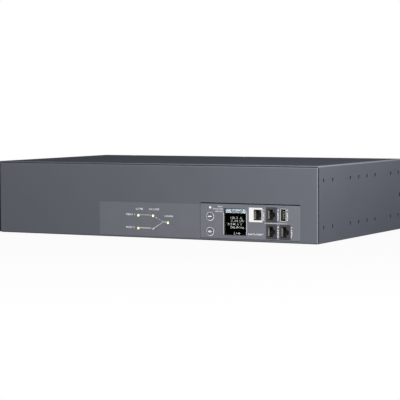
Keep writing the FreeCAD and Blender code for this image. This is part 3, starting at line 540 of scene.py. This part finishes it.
def flat_words(words, place, high, wide=None, back=False, turn=0.0, bold=0.0):
    """Capitals or figures of a given height, and of a given width where one is set."""
    start()
    bpy.ops.object.text_add()
    label = bpy.context.object
    label.data.body = words
    label.data.offset = bold
    label.data.resolution_u = 3
    bpy.ops.object.convert(target="MESH")
    label = bpy.context.object
    bpy.ops.object.mode_set(mode="EDIT")
    bpy.ops.mesh.select_all(action="SELECT")
    bpy.ops.mesh.remove_doubles(threshold=SLIVER)
    bpy.ops.mesh.beautify_fill()
    bpy.ops.object.mode_set(mode="OBJECT")
    xs = [vertex.co.x for vertex in label.data.vertices]
    ys = [vertex.co.y for vertex in label.data.vertices]
    tall = high / (max(ys) - min(ys))
    broad = wide / (max(xs) - min(xs)) if wide else tall
    centred = Matrix.Translation((-(min(xs) + max(xs)) / 2, -(min(ys) + max(ys)) / 2, 0.0))
    label.matrix_world = standing(place, back, turn) @ Matrix.Diagonal((broad, tall, 1.0, 1.0)) @ centred
    apply_place()
    return label


def thicken(thickness, back=False):
    """Draws a flat shape out of its surface, towards the front or the rear."""
    out = thickness if back else -thickness
    bpy.ops.object.mode_set(mode="EDIT")
    bpy.ops.mesh.select_all(action="SELECT")
    bpy.ops.mesh.extrude_region_move(TRANSFORM_OT_translate={"value": (0.0, out, 0.0)})
    bpy.ops.mesh.select_all(action="SELECT")
    bpy.ops.mesh.normals_make_consistent(inside=False)
    bpy.ops.object.mode_set(mode="OBJECT")


def join(parts, name):
    """Joins shapes into one named piece whose place is in its mesh."""
    start()
    for part in parts:
        part.select_set(True)
    bpy.context.view_layer.objects.active = parts[0]
    apply_place()
    bpy.ops.object.join()
    piece = bpy.context.object
    piece.name = name
    piece.data.name = name
    return piece


def printed(parts, name, thickness, material, body=CHASSIS, back=False):
    """Joins flat shapes into one print with a thickness, on a body."""
    piece = join(parts, name)
    thicken(thickness, back)
    settle(piece, material, body)


def settle(piece, material, body=CHASSIS):
    """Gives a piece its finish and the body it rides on."""
    piece.data.materials.clear()
    piece.data.materials.append(material)
    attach(piece, body)


class RACK_OT_casing(bpy.types.Operator):
    """Paints the tray and the cover and finishes their fasteners"""

    bl_idname = "rack.casing"
    bl_label = "Casing"

    def execute(self, context):
        colours = context.scene.rack_colours
        # the fold colour is a painted highlight and the bare colour a painted shade
        painted_highlight, bare = colours.fold, colours.bare
        coat(powder_coat("tray paint", colours.paint, painted_highlight, bare, self.tray_painted_light), "base_tray")
        coat(powder_coat("cover paint", colours.cover, painted_highlight, bare, self.cover_painted_light), "top_cover")
        coat(plated_metal("black oxide", linear((30, 30, 34)), 0.6), "cover_screws")
        zinc = plated_metal("zinc plate", linear((176, 178, 182)), 0.34)
        coat(zinc, "ear_clinch_nuts", "hex_nuts", "board_screws", "board_spacers")
        return {"FINISHED"}

    def tray_painted_light(self, finish):
        """Shares of a painted highlight on the front wall's folds, and of painted shade in the gap under the
        cover's lip and in the holes.
        """
        low, high = corners("base_tray")
        x, y, z = finish.axes()
        front = finish.rise(y, low.y + 2.2 * MM, low.y + 1.2 * MM)
        side = finish.rise(abs(x), high.x - 1.15 * MM, high.x - 0.75 * MM)
        head = finish.rise(z, high.z - 1.8 * MM, high.z - 1.0 * MM)
        lip_shadow = finish.rise(z, high.z - 0.8 * MM, high.z - 0.6 * MM)
        right = self.rightward(finish, x)
        # painted highlights on the front wall's side and top folds, stronger towards the right
        folds = front * (side * 0.55 + head * (0.12 + right * 0.33))
        holes = self.walls_for_painted_shade(finish, x, y, high.x, high.y)
        # painted shade in the holes and in the gap under the cover's lip, darker towards the right
        return self.held(finish, folds), self.held(finish, holes + front * lip_shadow * (0.05 + right * 0.67))

    def cover_painted_light(self, finish):
        """Shares of a painted highlight on the folds and the top's cut edges, and of painted shade at the
        sides' edges.

        The sides also get a painted highlight towards the top and painted shade towards the foot, and the top
        gets painted shade towards the left.
        """
        low, high = corners("top_cover")
        x, y, z = finish.axes()
        side = finish.rise(abs(x), high.x - 2.2 * MM, high.x - 1.4 * MM)
        head = finish.rise(z, high.z - 1.9 * MM, high.z - 1.2 * MM)
        cut = finish.rise(abs(y), high.y - 0.4 * MM, high.y - 0.1 * MM)
        right = self.rightward(finish, x)
        # painted highlight on the top's side folds and on its cut edges, stronger towards the right
        folds = head * (side * 0.9 + cut * (0.05 + right * 0.25))
        half = (low.z + high.z) / 2
        skin = finish.rise(abs(x), high.x - 0.15 * MM, high.x - 0.05 * MM)
        crown = finish.rise(z, high.z - 0.15 * MM, high.z - 0.05 * MM)
        paler, darker = finish.rise(z, half, high.z), finish.rise(z, half, low.z)
        edges = self.walls_for_painted_shade(finish, x, z, high.x, high.z)
        # painted shade in the holes and at the sides' cut edges, low on the sides and on the left of the top
        dark = edges + skin * darker * 0.14 + crown * (1.0 - right) * 0.22
        # painted highlight on the sides towards the top
        return self.held(finish, folds + skin * paler * 0.1), self.held(finish, dark)

    def rightward(self, finish, x):
        """0 at the left of the unit, rising to 1 at its right, where the key light stands; it scales painted
        highlights and painted shade.
        """
        return finish.rise(x, DARK_END, PALE_END)

    def held(self, finish, share):
        """A share kept between 0 and 1."""
        return finish.add("ShaderNodeClamp", None, {"Value": share})

    def walls_for_painted_shade(self, finish, x, other, half, end):
        """1 below the outer skin of the sides, short of the fold at the end of another axis: the hole walls
        and cut edges that take painted shade.
        """
        below = finish.rise(abs(x), half - 0.15 * MM, half - 0.45 * MM)
        return below * finish.rise(abs(other), end - 2.0 * MM, end - 2.6 * MM)


class RACK_OT_status_panel(bpy.types.Operator):
    """Prints the flow lines and labels of the status panel"""

    bl_idname = "rack.status_panel"
    bl_label = "Status panel"

    def execute(self, context):
        colours, sizes = context.scene.rack_colours, context.scene.rack_sizes
        coat(grained_plastic("overlay film", colours.overlay, 0.5, 0.3, 0.012, 0.22), "status_overlay")
        face = corners("status_overlay")[0].y
        lamp = {name: middle(name) for name in LIT_LAMPS + DARK_LAMPS}
        for spot in lamp.values():
            spot.y = face
        a_power, a_selected = lamp["source_a_power_lamp"], lamp["source_a_selected_lamp"]
        b_power, b_selected = lamp["source_b_power_lamp"], lamp["source_b_selected_lamp"]
        output = lamp["output_lamp"]
        lens = Vector((LENS_ROOM, 0.0, 0.0))
        high_a, high_b = Vector((0.0, 0.0, A_LIFT)), Vector((0.0, 0.0, B_LIFT))
        meet = output + Vector((-JOINED_FAR, 0.0, JOINED_LIFT))
        near = output + Vector((-JOINED_NEAR, 0.0, JOINED_LIFT))
        lines = [
            flat_strip(a_power + lens + high_a, a_selected - lens + high_a, sizes.line * 0.8),
            flat_strip(b_power + lens + high_b, b_selected - lens + high_b, sizes.line * 1.3),
            flat_strip(meet, near, sizes.line * 1.3),
        ]
        rise = (meet - b_selected).normalized()
        lines.append(flat_strip(b_selected + rise * LENS_ROOM, meet, sizes.line * 0.75))
        fall = meet - a_selected
        for first, last in DASHES:
            lines.append(flat_strip(a_selected + fall * first, a_selected + fall * last, sizes.line * 0.9))
        ink = print_ink("front ink", colours.ink)
        printed(lines, "flow_lines", sizes.ink, ink)
        # each row: words, the lamp, how far right of it and above it in mm, and the words' width in mm
        rows = (
            ("LIVE", a_power, 1.7, 7.8, 9.6), ("IN USE", a_selected, 1.6, 7.8, 13.6),
            ("FEED 1", a_power, -10.7, 0.9, 12.0), ("FEED 2", b_power, -10.7, 0.9, 12.0),
            ("LOAD", output, 1.4, 7.8, 11.2),
        )
        labels = []
        for words, spot, across, up, wide in rows:
            place = spot + Vector((across * MM, 0.0, up * MM))
            labels.append(flat_words(words, place, sizes.label, wide * MM, bold=0.02))
        printed(labels, "status_labels", sizes.ink, ink)
        return {"FINISHED"}


class RACK_OT_lamps(bpy.types.Operator):
    """Lights the lamps of the status panel and of the control module"""

    bl_idname = "rack.lamps"
    bl_label = "Lamps"

    def execute(self, context):
        colours = context.scene.rack_colours
        rim, tip = corners("status_overlay")[0].y, corners("output_lamp")[0].y
        coat(lit_lens("lamp lens", colours.lamp, rim, tip), *LIT_LAMPS)
        coat(clear_lens("dark lens", colours.dark_lamp), *DARK_LAMPS)
        coat(glowing("pale lens", linear((206, 211, 220)), 0.25, 0.5), "module_light_pipe")
        return {"FINISHED"}


class RACK_OT_control_module(bpy.types.Operator):
    """Finishes the control module and prints its rings, marks and labels"""

    bl_idname = "rack.control_module"
    bl_label = "Control module"

    def execute(self, context):
        colours, sizes = context.scene.rack_colours, context.scene.rack_sizes
        coat(grained_plastic("module plastic", colours.module, 0.48, 0.35, 0.02, 0.25), "module_bezel")
        coat(grained_plastic("button plastic", colours.button, 0.45, 0.3, 0.015, 0.25), *BUTTONS)
        ink = print_ink("module ink", colours.ink)
        face = corners("module_bezel")[0].y
        rings = []
        for name in BUTTONS:
            low, high = corners(name)
            inner = BUTTON_RADIUS + sizes.ring_gap
            spot = Vector(((low.x + high.x) / 2, face, (low.z + high.z) / 2))
            rings.append(flat_ring(spot, inner + sizes.ring, inner, sizes.ring_lift))
        printed(rings, "button_rings", sizes.ink, ink)
        self.mark("upper_button", False, sizes, ink)
        self.mark("lower_button", True, sizes, ink)
        self.legend(face, sizes, ink)
        return {"FINISHED"}

    def mark(self, button, arrow, sizes, ink):
        """A bar, with an arrow's point where asked, that follows the dish of a button's face."""
        spot = middle(button)
        spot.y = corners(button)[0].y - MARK_START
        reach = Vector((MARK_REACH, 0.0, 0.0))
        parts = [flat_strip(spot - reach, spot + reach, MARK_WIDTH)]
        if arrow:
            start()
            bpy.ops.mesh.primitive_circle_add(vertices=4, radius=ARROW_RADIUS, fill_type="NGON")
            point = bpy.context.object
            point.matrix_world = standing(spot)
            apply_place()
            parts.append(point)
        piece = join(parts, button + "_mark")
        bpy.ops.object.mode_set(mode="EDIT")
        bpy.ops.mesh.select_all(action="SELECT")
        bpy.ops.mesh.subdivide(number_cuts=MARK_CUTS)
        bpy.ops.object.mode_set(mode="OBJECT")
        bpy.ops.object.modifier_add(type="SHRINKWRAP")
        lay = piece.modifiers[-1]
        lay.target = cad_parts[button]
        lay.wrap_method = "PROJECT"
        lay.use_project_y = True
        lay.use_positive_direction = True
        bpy.ops.object.modifier_apply(modifier=lay.name)
        printed([piece], button + "_mark", sizes.ink, ink, button + "_body")

    def legend(self, face, sizes, ink):
        """Short words by the status light, under the first socket and beside each socket."""
        lamp = middle("module_light_pipe")
        # each row: words, how far right of the light and above it in mm, and the words' width in mm
        rows = (("READY", 13.2, 1.4, 6.2), ("DATA LINK", 10.5, -1.4, 12.5), ("UNIT ON", 11.1, -4.3, 9.4))
        words = []
        for text, across, up, wide in rows:
            place = Vector((lamp.x + across * MM, face, lamp.z + up * MM))
            words.append(flat_words(text, place, sizes.legend, wide * MM, bold=0.02))
        jack = corners("network_jack_shell")
        below = Vector(((jack[0].x + jack[1].x) / 2, face, jack[0].z - JACK_LABEL_DROP))
        words.append(flat_words("DATA PORT", below, sizes.label, JACK_LABEL_WIDTH, bold=0.03))
        printed(words, "lamp_legend", sizes.ink, ink)
        ports = ("network_jack_shell", "data_jack_1", "host_port_shell", "data_jack_2", "data_jack_3")
        labels = []
        for k, node in enumerate(ports):
            low, high = corners(node)
            place = Vector((high.x + LABEL_ROOM, face, (low.z + high.z) / 2))
            word = f"PORT {k + 1}"
            labels.append(flat_words(word, place, sizes.port, PORT_LABEL_WIDTH, False, QUARTER, 0.03))
        upper, lower = corners("data_jack_1"), corners("data_jack_2")
        height = (upper[0].z + lower[1].z) / 2
        left = Vector((upper[0].x - DIVIDER_LEFT, face, height))
        right = Vector((corners("host_port_shell")[1].x + DIVIDER_RIGHT, face, height))
        labels.append(flat_strip(left, right, DIVIDER_WIDTH))
        printed(labels, "port_labels", sizes.ink, ink)


class RACK_OT_display(bpy.types.Operator):
    """Puts a heading, figures and units on the display, and a border and a rim round it"""

    bl_idname = "rack.display"
    bl_label = "Display"

    def execute(self, context):
        colours, sizes = context.scene.rack_colours, context.scene.rack_sizes
        coat(window_glass("display glass"), "display_window")
        coat(grained_plastic("display ground", colours.screen, 0.3, 0.2, 0.004, 0.1), "display_panel")
        low, high = corners("display_panel")
        lip = Vector((sizes.window_lip, 0.0, sizes.window_lip))
        low, high = low + lip, high - lip
        wide, tall = high.x - low.x, high.z - low.z

        def spot(across, up):
            return Vector((low.x + wide * across, low.y, low.z + tall * up))

        bar = glowing("screen bar", colours.screen_bar, 0.3, 0.05)
        heading = flat_panel(spot(0.02, 0.825), spot(0.985, 0.985))
        printed([heading], "screen_heading", sizes.ink, bar)
        pale = glowing("screen blocks", colours.screen_block, 0.3, 0.1)
        blocks = [
            flat_panel(spot(0.03, 0.83), spot(0.24, 0.975)),
            flat_panel(spot(0.81, 0.83), spot(0.975, 0.975)),
            flat_panel(spot(0.32, 0.925), spot(0.76, 0.965)),
        ]
        for block in blocks:
            block.location.y = -sizes.ink
        printed(blocks, "screen_blocks", sizes.ink, pale)
        figures = []
        # each row: figure, its middle and width, unit, its middle and width, as shares of the display's width
        rows = (
            ("10.2", 0.415, 0.36, "A", 0.72, 0.11), ("2.35", 0.415, 0.34, "kW", 0.765, 0.2),
            ("230.1", 0.34, 0.5, "V", 0.725, 0.1), ("50.0", 0.415, 0.38, "Hz", 0.765, 0.2),
        )
        for k, (figure, at, across, unit, unit_at, unit_across) in enumerate(rows):
            up = FIRST_ROW - k * ROW_STEP
            figures.append(flat_words(figure, spot(at, up), sizes.figure, across * wide))
            figures.append(flat_words(unit, spot(unit_at, up), sizes.figure, unit_across * wide))
        figures.append(flat_words("1/4", spot(0.53, 0.07), sizes.figure * 1.15, 0.27 * wide))
        glow = glowing("screen figures", colours.screen_text, 0.35, 0.1)
        printed(figures, "screen_figures", sizes.ink, glow)
        face = corners("module_bezel")[0].y
        foot = Vector((low.x - sizes.border, face, low.z))
        edge = flat_panel(foot, Vector((low.x, face, high.z)))
        printed([edge], "display_border", sizes.ink, print_ink("border ink", colours.screen))
        self.rim(foot, Vector((high.x, face, high.z)), colours, sizes)
        return {"FINISHED"}

    def rim(self, low, high, colours, sizes):
        """A slim moulded frame on the face of the module, round the display and its border."""
        piece = join([flat_frame(low, high, sizes.rim)], "display_rim")
        thicken(sizes.rim_proud)
        bpy.ops.object.modifier_add(type="BEVEL")
        edge = piece.modifiers[-1]
        edge.width = sizes.rim_proud * 0.4
        edge.segments = 2
        bpy.ops.object.modifier_apply(modifier=edge.name)
        # the rim's sides carry a painted highlight
        settle(piece, rim_plastic("rim plastic", colours.rim, colours.module, low.z, high.z))


class RACK_OT_data_sockets(bpy.types.Operator):
    """Finishes the data sockets and the host port and adds the port's contacts"""

    bl_idname = "rack.data_sockets"
    bl_label = "Data sockets"

    def execute(self, context):
        colours = context.scene.rack_colours
        jack = grained_plastic("jack plastic", colours.jack, 0.4, 0.3, 0.008, 0.3)
        coat(jack, "network_jack_insert", *DATA_JACKS)
        nickel = plated_metal("nickel plate", colours.nickel, 0.24)
        coat(nickel, "network_jack_shell", "host_port_shell", "inlet_blades")
        lip = corners("socket_contact_wires")[0].y
        # the contacts take painted shade from 1.6 mm to 3.0 mm behind their lip
        plated = socket_plate("contact plate", colours.contact, lip + 1.6 * MM, lip + 3.0 * MM)
        coat(plated, "socket_contact_wires")
        coat(grained_plastic("port tongue", colours.black, 0.4), "host_port_tongue")
        self.port_contacts(plated)
        return {"FINISHED"}

    def port_contacts(self, plated):
        """Four contacts on the side of the host port's tongue that faces the gap."""
        low, high = corners("host_port_shell")
        side = low.x + CONTACT_INSET
        front = corners("host_port_tongue")[0].y + CONTACT_SETBACK
        first = (low.z + high.z) / 2 - CONTACT_PITCH * (CONTACT_COUNT - 1) / 2
        start()
        bpy.ops.mesh.primitive_cube_add(size=1.0)
        contact = bpy.context.object
        contact.scale = CONTACT_SIZE
        contact.location = (side, front + CONTACT_SIZE.y / 2, first)
        apply_place()
        bpy.ops.object.mode_set(mode="EDIT")
        pick_faces(lambda f: f.normal.y < -0.9)
        bpy.ops.mesh.bevel(offset=CONTACT_ROUND, segments=2)
        bpy.ops.object.mode_set(mode="OBJECT")
        contact.name = "host_port_contacts"
        bpy.ops.object.modifier_add(type="ARRAY")
        row = contact.modifiers[-1]
        row.count = CONTACT_COUNT
        row.use_relative_offset = False
        row.use_constant_offset = True
        row.constant_offset_displace = (0.0, 0.0, CONTACT_PITCH)
        bpy.ops.object.modifier_apply(modifier=row.name)
        settle(contact, plated)


class RACK_OT_rear_sockets(bpy.types.Operator):
    """Finishes the inlets, outlets and breakers of the rear wall and prints their numbers"""

    bl_idname = "rack.rear_sockets"
    bl_label = "Rear sockets"

    def execute(self, context):
        colours, sizes = context.scene.rack_colours, context.scene.rack_sizes
        moulded = grained_plastic("socket plastic", colours.black, 0.5, 0.5, 0.03, 0.3)
        coat(moulded, *SMALL_OUTLETS, *LARGE_OUTLETS, *INLETS, *BREAKERS)
        cap = grained_plastic("breaker cap", linear((214, 213, 208)), 0.35)
        coat(cap, *(name + "_button" for name in BREAKERS))
        ink = print_ink("rear ink", colours.ink)
        wall = corners("base_tray")[1].y
        numbers = []
        for k, node in enumerate(SMALL_OUTLETS + LARGE_OUTLETS):
            low, high = corners(node)
            place = Vector(((low.x + high.x) / 2, wall, high.z + NUMBER_RISE))
            numbers.append(flat_words(str(k + 1), place, NUMBER_HEIGHT, None, True, bold=0.02))
        for k, (inlet, breaker) in enumerate(zip(INLETS, BREAKERS)):
            low, high = corners(inlet)
            place = Vector(((low.x + high.x) / 2, wall, high.z + NUMBER_RISE))
            numbers.append(flat_words(f"IN {k + 1}", place, NUMBER_HEIGHT, None, True, bold=0.02))
            place = middle(breaker) + Vector((0.0, 0.0, RESET_RISE))
            place.y = wall
            numbers.append(flat_words(f"RESET {k + 1}", place, RESET_HEIGHT, None, True, bold=0.02))
        printed(numbers, "rear_numbers", sizes.ink, ink, back=True)
        return {"FINISHED"}


class RACK_OT_inside(bpy.types.Operator):
    """Finishes the boards and parts inside the case"""

    bl_idname = "rack.inside"
    bl_label = "Inside"

    def execute(self, context):
        coat(
            circuit_board("solder mask", linear((28, 92, 52))),
            "status_board", "module_board", "outlet_board", "transfer_board",
        )
        dark = grained_plastic("relay plastic", linear((30, 30, 34)), 0.4)
        coat(dark, "button_switches", "display_holder", "outlet_relays", "transfer_relays", "current_sensors")
        grey = grained_plastic("supply plastic", linear((120, 122, 126)), 0.5)
        coat(grey, "supply_module", "board_ribbons")
        coat(grained_plastic("capacitor plastic", linear((206, 176, 60)), 0.4), "filter_capacitors")
        coat(grained_plastic("terminal plastic", linear((52, 138, 92)), 0.4), "input_terminals")
        coat(grained_plastic("lead sleeve", linear((26, 26, 28)), 0.55), "supply_leads")
        coat(plated_metal("bare brass", linear((206, 160, 104)), 0.3), "earth_block", "output_busbars")
        return {"FINISHED"}


class RACK_OT_stage(bpy.types.Operator):
    """Sets up the floor, the light and the camera"""

    bl_idname = "rack.stage"
    bl_label = "Stage"

    def execute(self, context):
        stage = context.scene.rack_stage
        self.floor()
        self.world(stage)
        self.light("key", stage.key, KEY_PLACE, KEY_SIZE)
        self.light("back", stage.back, BACK_PLACE, BACK_SIZE)
        self.camera(context, stage)
        context.scene.view_settings.view_transform = "Standard"
        return {"FINISHED"}

    def floor(self):
        """A pale floor that the camera sees as white, a touch darker near the unit."""
        start()
        bpy.ops.mesh.primitive_plane_add(size=FLOOR_SIZE)
        floor = bpy.context.object
        floor.name = "floor"
        finish = Finish("floor white", base_color=FLOOR_TONE, roughness=0.9, specular_ior_level=0.0)
        white = finish.add("ShaderNodeEmission", None, {"Color": (1.0, 1.0, 1.0), "Strength": 1.0})
        own = Wire(finish, finish.shader.outputs["BSDF"])
        reach = finish.add("ShaderNodeVectorMath", {"operation": "LENGTH"}, {0: finish.place()}, "Value")
        away = finish.rise(reach, SHADE_START, SHADE_END)
        share = finish.seen() * (1.0 - FLOOR_SHADE + away * FLOOR_SHADE)
        mixed = finish.add("ShaderNodeMixShader", None, {0: share, 1: own, 2: white})
        finish.feed(finish.tree.nodes["Material Output"].inputs["Surface"], mixed)
        floor.data.materials.append(finish.material)

    def world(self, stage):
        """An even light that the camera and mirrors see as white."""
        world = bpy.data.worlds.new("studio")
        world.use_nodes = True
        bpy.context.scene.world = world
        nodes = Nodes(world.node_tree)
        ground = nodes.tree.nodes["Background"].inputs
        nodes.feed(ground["Color"], (1.0, 1.0, 1.0))
        nodes.feed(ground["Strength"], stage.ambient + nodes.seen() * (1.0 - stage.ambient))

    def light(self, name, power, place, size):
        start()
        bpy.ops.object.light_add(type="AREA", location=place)
        lamp = bpy.context.object
        lamp.name = name
        lamp.data.energy = power
        lamp.data.size = size
        lamp.rotation_euler = (-Vector(place)).to_track_quat("-Z", "Y").to_euler()

    def camera(self, context, stage):
        sine, cosine = math.sin(stage.azimuth), math.cos(stage.azimuth)
        level = math.cos(stage.elevation)
        back = Vector((sine * level, -cosine * level, math.sin(stage.elevation)))
        right = Vector((cosine, sine, 0.0))
        up = back.cross(right)
        turn = Matrix.Rotation(stage.roll, 3, "Z")
        axes = Matrix((right, up, back)).transposed() @ turn
        target = Vector((stage.target_x, corners("base_tray")[0].y, stage.target_z))
        start()
        bpy.ops.object.camera_add()
        camera = bpy.context.object
        camera.matrix_world = Matrix.Translation(target + back * stage.distance) @ axes.to_4x4()
        camera.data.sensor_width = SENSOR_WIDTH
        camera.data.lens = stage.lens
        context.scene.camera = camera


STEPS = (
    "casing", "status_panel", "lamps", "control_module", "display", "data_sockets", "rear_sockets", "inside",
    "stage",
)


class RACK_PT_panel(bpy.types.Panel):
    """Lists the steps that dress the unit"""

    bl_idname = "RACK_PT_panel"
    bl_label = "Rack unit"
    bl_space_type = "VIEW_3D"
    bl_region_type = "UI"
    bl_category = "Rack unit"

    def draw(self, context):
        for step in STEPS:
            self.layout.operator("rack." + step)


CLASSES = (
    Colours, Sizes, Stage, RACK_OT_casing, RACK_OT_status_panel, RACK_OT_lamps, RACK_OT_control_module,
    RACK_OT_display, RACK_OT_data_sockets, RACK_OT_rear_sockets, RACK_OT_inside, RACK_OT_stage, RACK_PT_panel,
)


def register():
    for kind in CLASSES:
        bpy.utils.register_class(kind)
    bpy.types.Scene.rack_colours = PointerProperty(type=Colours)
    bpy.types.Scene.rack_sizes = PointerProperty(type=Sizes)
    bpy.types.Scene.rack_stage = PointerProperty(type=Stage)


def unregister():
    del bpy.types.Scene.rack_stage
    del bpy.types.Scene.rack_sizes
    del bpy.types.Scene.rack_colours
    for kind in reversed(CLASSES):
        bpy.utils.unregister_class(kind)


def main():
    register()
    for step in STEPS:
        getattr(bpy.ops.rack, step)()


if __name__ == "__main__":
    main()
